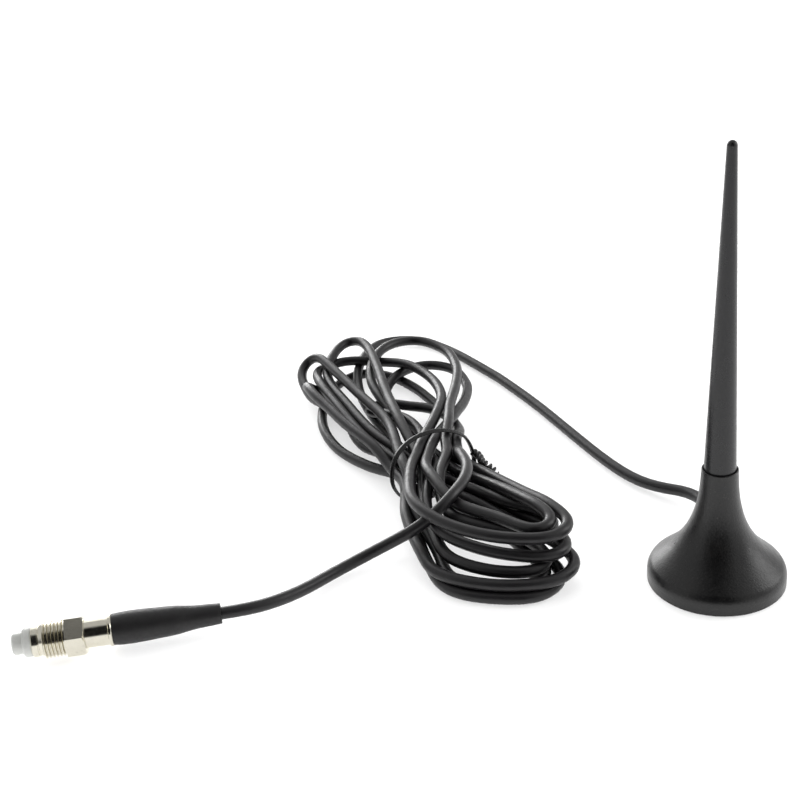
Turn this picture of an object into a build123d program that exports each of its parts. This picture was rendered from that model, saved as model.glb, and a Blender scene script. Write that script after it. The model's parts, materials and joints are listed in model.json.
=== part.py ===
from build123d import *
import math
import os

# Magnetic-foot cellular whip antenna with a coaxial lead and a screw-on jack.
# Millimetres, +Z up. The origin is the centre of the foot, on the surface that it stands on.

# Overall sizes
TOTAL_HEIGHT = 98.5
FOOT_RADIUS = 15.0
NECK_TOP = 27.8
NECK_RADIUS = 3.9

# Mast cover
MAST_FOOT = 27.0
MAST_FOOT_RADIUS = 3.45
MAST_TIP_RADIUS = 1.05
SPIGOT_RADIUS = 2.55
SPIGOT_BOTTOM = 21.0
LOWER_BORE_RADIUS = 1.75
LOWER_BORE_TOP = 56.0
UPPER_BORE_RADIUS = 0.8
UPPER_BORE_TOP = 90.0

# Base housing
HOUSING_BOTTOM = 0.2
PAD_RADIUS = 14.3
PAD_TOP = 0.8
CAVITY_RADIUS = 12.6
CAVITY_WALL_TOP = 3.4
NECK_BORE_RADIUS = 2.6
NECK_BORE_BOTTOM = 20.0
LIP_INNER_RADIUS = 3.65

# Magnet and ground plate
MAGNET_RADIUS = 12.3
MAGNET_TOP = 2.5
PLATE_TOP = 3.1
WASHER_RADIUS = 3.0
WASHER_TOP = 3.5
SLOT_WIDTH = 3.6
SLOT_START = 9.2

# Radiator, from the feed stud up to the tip wire
STUD_RADIUS = 1.0
STUD_TOP = 23.0
LOWER_WIRE_RADIUS = 0.5
COIL_BOTTOM = 34.0
COIL_TURNS = 8
COIL_PITCH = 1.4
COIL_RADIUS = 1.3
COIL_WIRE_RADIUS = 0.25
FORMER_RADIUS = 1.0
COLLAR_RADIUS = 1.6
COLLAR_HEIGHT = 0.6
UPPER_WIRE_RADIUS = 0.4
UPPER_WIRE_TOP = 88.0

# Coaxial cable, 50 ohm miniature type
CABLE_D = 2.8
CABLE_R = CABLE_D / 2
BRAID_R = 1.0
DIELECTRIC_R = 0.75
CONDUCTOR_R = 0.25

# Where the cable leaves the base
EXIT_BEARING = 80.0
EXIT_HEIGHT = 4.1
EXIT_RADIUS = 15.0
JACKET_START = 9.4
BRAID_START = 7.4
DIELECTRIC_START = 3.6

# Jack: distances along its axis from the back of its flange towards its mating end
JACK_ORIGIN = (-131.8, -7.7, 4.6)
JACK_BEARING = 187.0
FLANGE_RADIUS = 3.5
FLANGE_LENGTH = 0.75
BARREL_RADIUS = 3.15
BARREL_END = 5.75
HEX_ACROSS_FLATS = 8.0
HEX_TILT = 6.0
HEX_END = 9.7
THREAD_RADIUS = 4.0
THREAD_DEPTH = 0.46
THREAD_PITCH = 0.75
THREAD_END = 15.3
LEAD_IN_RADIUS = 3.45
LEAD_IN_END = 16.9
INSULATOR_RADIUS = 2.3
SHOULDER_RADIUS = 3.25
SHOULDER_END = 18.9
INSULATOR_TIP_RADIUS = 2.4
JACK_END = 21.0
CONTACT_RADIUS = 0.95
CONTACT_BORE_RADIUS = 0.5
CONTACT_BORE_DEPTH = 5.0
CRIMP_NECK_LENGTH = 6.0
CRIMP_NECK_RADIUS = 1.2
FERRULE_RADIUS = 2.4
FERRULE_LENGTH = 12.6
SLEEVE_LENGTH = 23.2

# Twist tie around the middle of the hank
TIE_CENTRE = (-59.9, 52.05, 6.6)
TIE_BEARING = -63.0
TIE_HALF_WIDTH = 11.8
TIE_HALF_HEIGHT = 6.5
TIE_THICKNESS = 0.8
TIE_WIDTH = 1.2
TIE_TAIL_LENGTH = 11.0
TIE_TAIL_RADIUS = 0.8

# Hank of spare cable
HANK_TOP = 13.4
HANK_EDGE = 2.5
GAP = 0.1

# Routes of the cable where it isn't coiled
ANTENNA_ROUTE = [
    (3.8, 21.6, 4.1),
    (3.6, 27.6, 3.9),
    (0.9, 33.2, 3.2),
    (-4.2, 37.4, 2.3),
    (-9.4, 43.6, 1.6),
    (-14.6, 54.2, 1.4),
    (-21.2, 72.0, 1.4),
    (-28.2, 91.5, 1.4),
    (-36.6, 110.5, 1.4),
    (-46.5, 128.5, 1.4),
]
JACK_ROUTE = [
    (-103.8, -4.3, 4.6),
    (-97.7, -1.6, 4.1),
    (-91.5, 4.1, 2.8),
    (-84.5, 12.4, 1.6),
    (-76.0, 16.8, 3.2),
    (-68.0, 16.8, 7.2),
    (-62.5, 17.4, 10.4),
]

os.makedirs("parts", exist_ok=True)


def heading(bearing):
    """Level unit vector at this bearing, in degrees from +X towards +Y."""
    return Vector(math.cos(math.radians(bearing)), math.sin(math.radians(bearing)), 0)


def write(builder, name):
    """Name a finished sub-part and write it to its own file."""
    builder.part.label = name
    export_step(builder.part, f"parts/{name}.step")


def corner_radii(points):
    """Arc radii that use 0.45 of the shorter run beside each corner."""
    radii = []
    for before, corner, after in zip(points, points[1:], points[2:]):
        run_in = Vector(corner) - Vector(before)
        run_out = Vector(after) - Vector(corner)
        half_turn = math.radians(run_in.get_angle(run_out)) / 2
        radii.append(0.45 * min(run_in.length, run_out.length) / math.tan(half_turn))
    return radii


def report_tube(name, builder, path, radii):
    """Print a cable tube's length, its arc radii and its volume against section times length."""
    expected = math.pi * CABLE_R**2 * path.length
    print(name, "length", round(path.length, 1), "radii", [round(r, 1) for r in radii])
    print(name, "volume", round(builder.part.volume, 1), "expected", round(expected, 1))


# Mast cover: hollow tapered cover with a spigot that plugs into the neck of the base
with BuildPart() as mast_cover:
    with BuildSketch(Plane.XZ):
        with BuildLine():
            tip_centre = (0, TOTAL_HEIGHT - MAST_TIP_RADIUS)
            tip = CenterArc(tip_centre, MAST_TIP_RADIUS, start_angle=0, arc_size=90)
            outside = Line((MAST_FOOT_RADIUS, MAST_FOOT + 0.15), tip @ 0)
            Polyline(
                tip @ 1,
                (0, UPPER_BORE_TOP),
                (UPPER_BORE_RADIUS, UPPER_BORE_TOP),
                (UPPER_BORE_RADIUS, LOWER_BORE_TOP),
                (LOWER_BORE_RADIUS, LOWER_BORE_TOP - 1.0),
                (LOWER_BORE_RADIUS, SPIGOT_BOTTOM),
                (SPIGOT_RADIUS - 0.2, SPIGOT_BOTTOM),
                (SPIGOT_RADIUS, SPIGOT_BOTTOM + 0.4),
                (SPIGOT_RADIUS, MAST_FOOT),
                (MAST_FOOT_RADIUS - 0.15, MAST_FOOT),
                outside @ 0,
            )
        make_face()
    revolve(axis=Axis.Z)
write(mast_cover, "mast_cover")


# Base housing: bell-shaped shell, open underneath, with a raised lip around the mast's foot
exit_direction = heading(EXIT_BEARING)
exit_height = Vector(0, 0, EXIT_HEIGHT)


def exit_plane(distance):
    """Plane across the cable's way out of the base, this far from the base's axis."""
    return Plane(origin=exit_direction * distance + exit_height, x_dir=(0, 0, 1), z_dir=exit_direction)


with BuildPart() as base_housing:
    with BuildSketch(Plane.XZ):
        with BuildLine():
            rim = Line((FOOT_RADIUS, HOUSING_BOTTOM + 0.2), (FOOT_RADIUS, 2.4))
            shoulder = TangentArc(rim @ 1, (13.95, 4.75), tangent=rim % 1)
            flare = Spline(
                shoulder @ 1,
                (10.2, 8.2),
                (6.1, 14.6),
                (4.5, 20.5),
                (NECK_RADIUS, NECK_TOP - 0.15),
                tangents=[shoulder % 1, (-0.04, 1)],
            )
            Polyline(
                flare @ 1,
                (NECK_RADIUS - 0.1, NECK_TOP),
                (LIP_INNER_RADIUS, NECK_TOP),
                (LIP_INNER_RADIUS, MAST_FOOT),
                (NECK_BORE_RADIUS, MAST_FOOT),
                (NECK_BORE_RADIUS, NECK_BORE_BOTTOM),
            )
            Spline(
                (NECK_BORE_RADIUS, NECK_BORE_BOTTOM),
                (3.2, 17.0),
                (5.0, 12.2),
                (9.3, 7.0),
                (CAVITY_RADIUS, CAVITY_WALL_TOP),
            )
            Polyline(
                (CAVITY_RADIUS, CAVITY_WALL_TOP),
                (CAVITY_RADIUS, PAD_TOP),
                (PAD_RADIUS + GAP, PAD_TOP),
                (PAD_RADIUS + GAP, HOUSING_BOTTOM),
                (FOOT_RADIUS - 0.2, HOUSING_BOTTOM),
                rim @ 0,
            )
        make_face()
    revolve(axis=Axis.Z)
    with BuildSketch(exit_plane(9.0)):
        Circle(CABLE_R)
    extrude(amount=10.0, mode=Mode.SUBTRACT)
write(base_housing, "base_housing")


# Foot pad: thin film that closes the underside and keeps the base from scratching
with BuildPart() as foot_pad:
    with BuildSketch(Plane.XY):
        Circle(PAD_RADIUS)
    extrude(amount=PAD_TOP)
    chamfer(foot_pad.edges().group_by(Axis.Z)[0], length=0.2)
write(foot_pad, "foot_pad")

# Magnet: plated disc that rests on the pad
with BuildPart() as magnet:
    with BuildSketch(Plane.XY.offset(PAD_TOP)):
        Circle(MAGNET_RADIUS)
    extrude(amount=MAGNET_TOP - PAD_TOP)
    chamfer(magnet.edges(), length=0.25)
write(magnet, "magnet")

# Ground plate: tinned steel disc on the magnet, slotted where the cable comes in
with BuildPart() as ground_plate:
    with BuildSketch(Plane.XY.offset(MAGNET_TOP)):
        Circle(MAGNET_RADIUS)
        with Locations(exit_direction * (SLOT_START + 2.0)):
            Rectangle(4.0, SLOT_WIDTH, rotation=EXIT_BEARING, mode=Mode.SUBTRACT)
    extrude(amount=PLATE_TOP - MAGNET_TOP)
write(ground_plate, "ground_plate")

# Insulating washer between the ground plate and the feed stud
with BuildPart() as insulating_washer:
    with BuildSketch(Plane.XY.offset(PLATE_TOP)):
        Circle(WASHER_RADIUS)
    extrude(amount=WASHER_TOP - PLATE_TOP)
write(insulating_washer, "insulating_washer")

# Feed stud: brass rod up the middle of the neck, bored at its top for the lower wire
with BuildPart() as feed_stud:
    with BuildSketch(Plane.XY.offset(WASHER_TOP)):
        Circle(STUD_RADIUS)
    extrude(amount=STUD_TOP - WASHER_TOP)
    with BuildSketch(Plane.XY.offset(STUD_TOP)):
        Circle(LOWER_WIRE_RADIUS)
    extrude(amount=-2.0, mode=Mode.SUBTRACT)
    chamfer(feed_stud.edges().group_by(Axis.Z)[0], length=0.2)
write(feed_stud, "feed_stud")

# Neck insulator: plastic bush that centres the stud below the mast's spigot
with BuildPart() as neck_insulator:
    with BuildSketch(Plane.XY.offset(16.6)):
        Circle(2.5)
        Circle(STUD_RADIUS, mode=Mode.SUBTRACT)
    extrude(amount=4.2)
write(neck_insulator, "neck_insulator")

# Lower radiator wire with the collar that carries the coil's first turn
COLLAR_BOTTOM = COIL_BOTTOM - COLLAR_HEIGHT
with BuildPart() as lower_radiator:
    with BuildSketch(Plane.XY.offset(STUD_TOP - 2.0)):
        Circle(LOWER_WIRE_RADIUS)
    extrude(amount=COLLAR_BOTTOM - STUD_TOP + 2.0)
    with BuildSketch(Plane.XY.offset(COLLAR_BOTTOM)):
        Circle(COLLAR_RADIUS)
    extrude(amount=COLLAR_HEIGHT)
write(lower_radiator, "lower_radiator")

# Coil former: plastic rod that the loading coil is wound on
COIL_TOP = COIL_BOTTOM + COIL_TURNS * COIL_PITCH + 2 * COIL_WIRE_RADIUS
with BuildPart() as coil_former:
    with BuildSketch(Plane.XY.offset(COIL_BOTTOM)):
        Circle(FORMER_RADIUS)
    extrude(amount=COIL_TOP - COIL_BOTTOM)
write(coil_former, "coil_former")

# Loading coil: helix of enamelled wire
with BuildPart() as loading_coil:
    with BuildLine(Plane.XY.offset(COIL_BOTTOM + COIL_WIRE_RADIUS)):
        coil_line = Helix(COIL_PITCH, COIL_TURNS * COIL_PITCH, COIL_RADIUS)
    with BuildSketch(Plane(origin=coil_line @ 0, z_dir=coil_line % 0)):
        Circle(COIL_WIRE_RADIUS)
    sweep(is_frenet=True)
write(loading_coil, "loading_coil")

# Upper radiator wire with the collar that carries the coil's last turn
with BuildPart() as upper_radiator:
    with BuildSketch(Plane.XY.offset(COIL_TOP)):
        Circle(COLLAR_RADIUS)
    extrude(amount=COLLAR_HEIGHT)
    with BuildSketch(Plane.XY.offset(COIL_TOP + COLLAR_HEIGHT)):
        Circle(UPPER_WIRE_RADIUS)
    extrude(amount=UPPER_WIRE_TOP - COIL_TOP - COLLAR_HEIGHT)
write(upper_radiator, "upper_radiator")


# Cable end inside the base: jacket, crimp band, braid, insulation and centre conductor
with BuildPart() as base_cable_end:
    with BuildSketch(exit_plane(JACKET_START)):
        Circle(CABLE_R)
        Circle(BRAID_R, mode=Mode.SUBTRACT)
    extrude(amount=EXIT_RADIUS - JACKET_START)
write(base_cable_end, "base_cable_end")

with BuildPart() as cable_crimp_band:
    with BuildSketch(exit_plane(JACKET_START + 0.1)):
        Circle(CABLE_R + 0.2)
        Circle(CABLE_R, mode=Mode.SUBTRACT)
    extrude(amount=1.0)
write(cable_crimp_band, "cable_crimp_band")

with BuildPart() as base_braid:
    with BuildSketch(exit_plane(BRAID_START)):
        Circle(BRAID_R)
        Circle(DIELECTRIC_R, mode=Mode.SUBTRACT)
    extrude(amount=EXIT_RADIUS - BRAID_START)
write(base_braid, "base_braid")

with BuildPart() as base_dielectric:
    with BuildSketch(exit_plane(DIELECTRIC_START)):
        Circle(DIELECTRIC_R)
        Circle(CONDUCTOR_R, mode=Mode.SUBTRACT)
    extrude(amount=EXIT_RADIUS - DIELECTRIC_START)
write(base_dielectric, "base_dielectric")

with BuildPart() as base_conductor:
    with BuildSketch(exit_plane(STUD_RADIUS + GAP)):
        Circle(CONDUCTOR_R)
    extrude(amount=EXIT_RADIUS - STUD_RADIUS - GAP)
write(base_conductor, "base_conductor")

# Solder joints: centre conductor to stud, and braid to ground plate
with BuildPart() as feed_solder:
    with Locations(exit_direction * (STUD_RADIUS + 0.5) + exit_height):
        Sphere(0.6)
    add(feed_stud.part, mode=Mode.SUBTRACT)
    add(base_conductor.part, mode=Mode.SUBTRACT)
write(feed_solder, "feed_solder")

with BuildPart() as braid_solder:
    with BuildSketch(Plane.XY.offset(PLATE_TOP)):
        with Locations(exit_direction * (BRAID_START + 0.3)):
            RectangleRounded(2.0, 3.4, 0.6, rotation=EXIT_BEARING)
    extrude(amount=0.7, taper=20)
    add(base_braid.part, mode=Mode.SUBTRACT)
    add(base_dielectric.part, mode=Mode.SUBTRACT)
write(braid_solder, "braid_solder")


# Jack: every piece is turned about one axis, which lies level above the surface
jack_direction = heading(JACK_BEARING)


def jack_plane(distance):
    """Plane across the jack's axis, this far in front of the back of its flange."""
    return Plane(origin=Vector(JACK_ORIGIN) + jack_direction * distance, x_dir=(0, 0, 1), z_dir=jack_direction)


def jack_tube(start, length, outer, inner):
    """Plain ring or rod on the jack's axis, as a part of its own."""
    with BuildPart() as tube:
        with BuildSketch(jack_plane(start)):
            Circle(outer)
            if inner:
                Circle(inner, mode=Mode.SUBTRACT)
        extrude(amount=length)
    return tube


# Local section plane: x is the radius, y is the distance along the jack's axis
jack_section = Plane(origin=JACK_ORIGIN, x_dir=(0, 0, 1), z_dir=Vector(0, 0, 1).cross(jack_direction))
jack_axis = Axis(JACK_ORIGIN, jack_direction)
thread_length = THREAD_END - HEX_END - 0.4
thread_turns = int(thread_length / THREAD_PITCH)

with BuildPart() as jack_body:
    with BuildSketch(jack_section):
        with BuildLine():
            thread_outline = [(THREAD_RADIUS - THREAD_DEPTH, HEX_END)]
            for turn in range(thread_turns):
                root = HEX_END + 0.4 + turn * THREAD_PITCH
                thread_outline.append((THREAD_RADIUS - THREAD_DEPTH, root))
                thread_outline.append((THREAD_RADIUS, root + 0.30 * THREAD_PITCH))
                thread_outline.append((THREAD_RADIUS, root + 0.55 * THREAD_PITCH))
                thread_outline.append((THREAD_RADIUS - THREAD_DEPTH, root + 0.85 * THREAD_PITCH))
            Polyline(
                (CRIMP_NECK_RADIUS, -CRIMP_NECK_LENGTH),
                (CRIMP_NECK_RADIUS, 0),
                (FLANGE_RADIUS - 0.15, 0),
                (FLANGE_RADIUS, 0.15),
                (FLANGE_RADIUS, FLANGE_LENGTH - 0.15),
                (FLANGE_RADIUS - 0.15, FLANGE_LENGTH),
                (BARREL_RADIUS, FLANGE_LENGTH),
                (BARREL_RADIUS, HEX_END - 0.5),
                (THREAD_RADIUS - THREAD_DEPTH, HEX_END - 0.5),
                *thread_outline,
                (LEAD_IN_RADIUS - 0.25, THREAD_END),
                (LEAD_IN_RADIUS - 0.25, THREAD_END + 0.25),
                (LEAD_IN_RADIUS, THREAD_END + 0.25),
                (LEAD_IN_RADIUS, LEAD_IN_END - 0.2),
                (LEAD_IN_RADIUS - 0.2, LEAD_IN_END),
                (INSULATOR_RADIUS, LEAD_IN_END),
                (INSULATOR_RADIUS, 3.0),
                (DIELECTRIC_R + 0.02, 3.0),
                (DIELECTRIC_R + 0.02, -CRIMP_NECK_LENGTH),
                close=True,
            )
        make_face()
    revolve(axis=jack_axis)
    # Hexagon for the spanner, with its corners turned off on the cable side
    with BuildSketch(jack_plane(BARREL_END)):
        RegularPolygon(HEX_ACROSS_FLATS / 2, 6, major_radius=False, rotation=-HEX_TILT)
        Circle(BARREL_RADIUS, mode=Mode.SUBTRACT)
    extrude(amount=HEX_END - BARREL_END)
    with BuildSketch(jack_section):
        with BuildLine():
            Polyline(
                (HEX_ACROSS_FLATS / 2 - 0.1, BARREL_END - 0.1),
                (6.0, BARREL_END - 0.1),
                (6.0, BARREL_END + 1.2),
                close=True,
            )
        make_face()
    revolve(axis=jack_axis, mode=Mode.SUBTRACT)
write(jack_body, "jack_body")

# White insulator that stands out of the jack's mouth, bored for the contact
with BuildPart() as jack_insulator:
    with BuildSketch(jack_section):
        with BuildLine():
            Polyline(
                (CONTACT_RADIUS, 3.0),
                (INSULATOR_RADIUS, 3.0),
                (INSULATOR_RADIUS, LEAD_IN_END),
                (SHOULDER_RADIUS - 0.1, LEAD_IN_END),
                (SHOULDER_RADIUS, LEAD_IN_END + 0.3),
                (SHOULDER_RADIUS - 0.05, SHOULDER_END - 0.6),
                (SHOULDER_RADIUS - 0.45, SHOULDER_END - 0.1),
                (INSULATOR_TIP_RADIUS, SHOULDER_END),
                (INSULATOR_TIP_RADIUS, JACK_END - 0.3),
                (INSULATOR_TIP_RADIUS - 0.3, JACK_END),
                (CONTACT_RADIUS + 0.1, JACK_END),
                (CONTACT_RADIUS, JACK_END - 0.3),
                close=True,
            )
        make_face()
    revolve(axis=jack_axis)
write(jack_insulator, "jack_insulator")

# Gold-plated socket contact inside the insulator
with BuildPart() as centre_contact:
    with BuildSketch(jack_plane(4.0)):
        Circle(CONTACT_RADIUS)
    extrude(amount=JACK_END - 0.4 - 4.0)
    with BuildSketch(jack_plane(JACK_END - 0.4)):
        Circle(CONTACT_BORE_RADIUS)
    extrude(amount=-CONTACT_BORE_DEPTH, mode=Mode.SUBTRACT)
    with BuildSketch(jack_plane(4.0)):
        Circle(CONDUCTOR_R)
    extrude(amount=2.0, mode=Mode.SUBTRACT)
write(centre_contact, "centre_contact")

# Crimp ferrule, and the cable's end inside it
crimp_ferrule = jack_tube(-FERRULE_LENGTH, FERRULE_LENGTH - GAP, FERRULE_RADIUS, CABLE_R + 0.02)
write(crimp_ferrule, "crimp_ferrule")

jacket_end = -CRIMP_NECK_LENGTH - 0.5
jack_cable_end = jack_tube(-SLEEVE_LENGTH, SLEEVE_LENGTH + jacket_end, CABLE_R, BRAID_R)
write(jack_cable_end, "jack_cable_end")

jack_braid = jack_tube(-CRIMP_NECK_LENGTH, CRIMP_NECK_LENGTH - 0.4, CABLE_R, CRIMP_NECK_RADIUS + 0.01)
write(jack_braid, "jack_braid")

jack_dielectric = jack_tube(-SLEEVE_LENGTH, SLEEVE_LENGTH + 2.8, DIELECTRIC_R, CONDUCTOR_R)
write(jack_dielectric, "jack_dielectric")

jack_conductor = jack_tube(-SLEEVE_LENGTH, SLEEVE_LENGTH + 6.0, CONDUCTOR_R, 0)
write(jack_conductor, "jack_conductor")

# Shrink sleeve: stands off the ferrule at the jack and closes onto the cable at its other end
with BuildPart() as shrink_sleeve:
    with BuildSketch(jack_section):
        with BuildLine():
            skin = Spline(
                (3.35, -GAP),
                (3.55, -3.7),
                (3.4, -8.5),
                (3.25, -11.4),
                (3.1, -13.6),
                (2.62, -17.0),
                (2.42, -20.0),
                (2.2, -SLEEVE_LENGTH),
            )
            Polyline(
                skin @ 1,
                (CABLE_R + 0.02, -SLEEVE_LENGTH),
                (CABLE_R + 0.02, -FERRULE_LENGTH - 1.6),
                (FERRULE_RADIUS + 0.02, -FERRULE_LENGTH - GAP),
                (FERRULE_RADIUS + 0.02, -GAP),
                skin @ 0,
            )
        make_face()
    revolve(axis=jack_axis)
write(shrink_sleeve, "shrink_sleeve")


# Cable from the base to the hank
exit_point = tuple(exit_direction * EXIT_RADIUS + exit_height)
antenna_points = [exit_point] + ANTENNA_ROUTE
antenna_radii = corner_radii(antenna_points)
with BuildPart() as antenna_lead:
    with BuildLine() as antenna_path:
        FilletPolyline(*antenna_points, radius=antenna_radii)
    with BuildSketch(exit_plane(EXIT_RADIUS)):
        Circle(CABLE_R)
    sweep()
write(antenna_lead, "antenna_lead")
report_tube("antenna_lead", antenna_lead, antenna_path.wires()[0], antenna_radii)

# Cable from the shrink sleeve to the hank
sleeve_point = tuple(Vector(JACK_ORIGIN) - jack_direction * SLEEVE_LENGTH)
jack_points = [sleeve_point] + JACK_ROUTE
jack_radii = corner_radii(jack_points)
with BuildPart() as jack_lead:
    with BuildLine() as jack_path:
        FilletPolyline(*jack_points, radius=jack_radii)
    with BuildSketch(jack_plane(-SLEEVE_LENGTH)):
        Circle(CABLE_R)
    sweep()
write(jack_lead, "jack_lead")
report_tube("jack_lead", jack_lead, jack_path.wires()[0], jack_radii)

# Hank: spare cable folded into loops and tied round the middle
tie_direction = heading(TIE_BEARING)
tie_across = heading(TIE_BEARING + 90)


def tie_plane(distance):
    """Plane across the hank's waist, this far from the tie towards the lower loops."""
    return Plane(origin=Vector(TIE_CENTRE) + tie_direction * distance, x_dir=tie_across, z_dir=tie_direction)


with BuildPart() as cable_hank:
    with BuildSketch(Plane.XY):
        with BuildLine():
            Spline(
                (-70.0, 62.0),
                (-84.0, 69.5),
                (-92.5, 87.0),
                (-97.6, 104.0),
                (-98.0, 119.0),
                (-89.0, 131.0),
                (-77.0, 139.5),
                (-65.0, 145.0),
                (-54.0, 141.5),
                (-46.0, 130.0),
                (-43.0, 108.0),
                (-45.5, 84.0),
                (-55.0, 67.0),
                periodic=True,
            )
        make_face()
    extrude(amount=HANK_TOP)
    with BuildSketch(Plane.XY):
        with BuildLine():
            Spline(
                (-64.0, 38.0),
                (-69.0, 29.0),
                (-66.5, 13.0),
                (-59.0, -1.0),
                (-46.0, -6.8),
                (-33.0, -3.5),
                (-28.5, 8.0),
                (-34.0, 23.0),
                (-49.0, 42.5),
                periodic=True,
            )
        make_face()
    extrude(amount=HANK_TOP)
    fillet(cable_hank.edges().group_by(Axis.Z)[-1], radius=HANK_EDGE)
    with BuildSketch(tie_plane(-12.0)):
        Ellipse(TIE_HALF_WIDTH - TIE_THICKNESS - GAP, TIE_HALF_HEIGHT - TIE_THICKNESS - GAP)
    extrude(amount=24.0)
    add(antenna_lead.part, mode=Mode.SUBTRACT)
    add(jack_lead.part, mode=Mode.SUBTRACT)
write(cable_hank, "cable_hank")

# Twist tie: flat band round the waist, with its twisted ends laid along the hank
with BuildPart() as twist_tie:
    with BuildSketch(tie_plane(-TIE_WIDTH / 2)):
        Ellipse(TIE_HALF_WIDTH, TIE_HALF_HEIGHT)
        Ellipse(TIE_HALF_WIDTH - TIE_THICKNESS, TIE_HALF_HEIGHT - TIE_THICKNESS, mode=Mode.SUBTRACT)
    extrude(amount=TIE_WIDTH)
    tail_start = Vector(TIE_CENTRE) + tie_across * (TIE_HALF_WIDTH + TIE_TAIL_RADIUS - 0.3) + Vector(0, 0, 1.5)
    with BuildSketch(Plane(origin=tail_start, z_dir=heading(TIE_BEARING - 3))):
        Circle(TIE_TAIL_RADIUS)
    extrude(amount=TIE_TAIL_LENGTH)
write(twist_tie, "twist_tie")
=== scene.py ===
import json
import math

import bmesh
import bpy
import numpy as np
from mathutils import Matrix, Vector


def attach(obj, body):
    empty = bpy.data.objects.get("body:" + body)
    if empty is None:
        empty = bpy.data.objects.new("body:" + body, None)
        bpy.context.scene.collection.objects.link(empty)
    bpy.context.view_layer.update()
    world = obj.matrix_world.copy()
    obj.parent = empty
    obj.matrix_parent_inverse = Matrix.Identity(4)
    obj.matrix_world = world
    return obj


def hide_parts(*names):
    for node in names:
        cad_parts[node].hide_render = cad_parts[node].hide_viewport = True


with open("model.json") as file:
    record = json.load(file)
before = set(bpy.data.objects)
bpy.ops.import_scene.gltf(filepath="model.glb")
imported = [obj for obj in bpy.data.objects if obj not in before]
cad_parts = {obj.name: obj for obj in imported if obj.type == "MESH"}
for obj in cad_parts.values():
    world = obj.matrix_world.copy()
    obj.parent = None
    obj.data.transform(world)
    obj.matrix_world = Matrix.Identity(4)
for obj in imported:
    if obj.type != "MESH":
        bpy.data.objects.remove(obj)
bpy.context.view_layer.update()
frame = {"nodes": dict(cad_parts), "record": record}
NODES = frame["nodes"]
MM = 0.001

# ---------------------------------------------------------------------------
# Camera: in front of the hank and above it, looking down, and rolled a little
# ---------------------------------------------------------------------------
PITCH = math.radians(25.6)
ROLL = math.radians(4.6)
CAMERA_PLACE = (-0.0665, -0.2425, 0.166)
LENS = 59.085
SENSOR_WIDTH = 36

forward = Vector((0, math.cos(PITCH), -math.sin(PITCH)))
level = Vector((1, 0, 0))
plumb = Vector((0, -math.sin(PITCH), -math.cos(PITCH)))
right = level * math.cos(ROLL) + plumb * math.sin(ROLL)
down = plumb * math.cos(ROLL) - level * math.sin(ROLL)
camera_data = bpy.data.cameras.new("camera")
camera_data.lens = LENS
camera_data.sensor_width = SENSOR_WIDTH
camera_data.clip_start = 0.01
camera = bpy.data.objects.new("camera", camera_data)
bpy.context.scene.collection.objects.link(camera)
turn = Matrix((right, -down, -forward)).transposed().to_4x4()
camera.matrix_world = Matrix.Translation(CAMERA_PLACE) @ turn
bpy.context.scene.camera = camera


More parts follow.
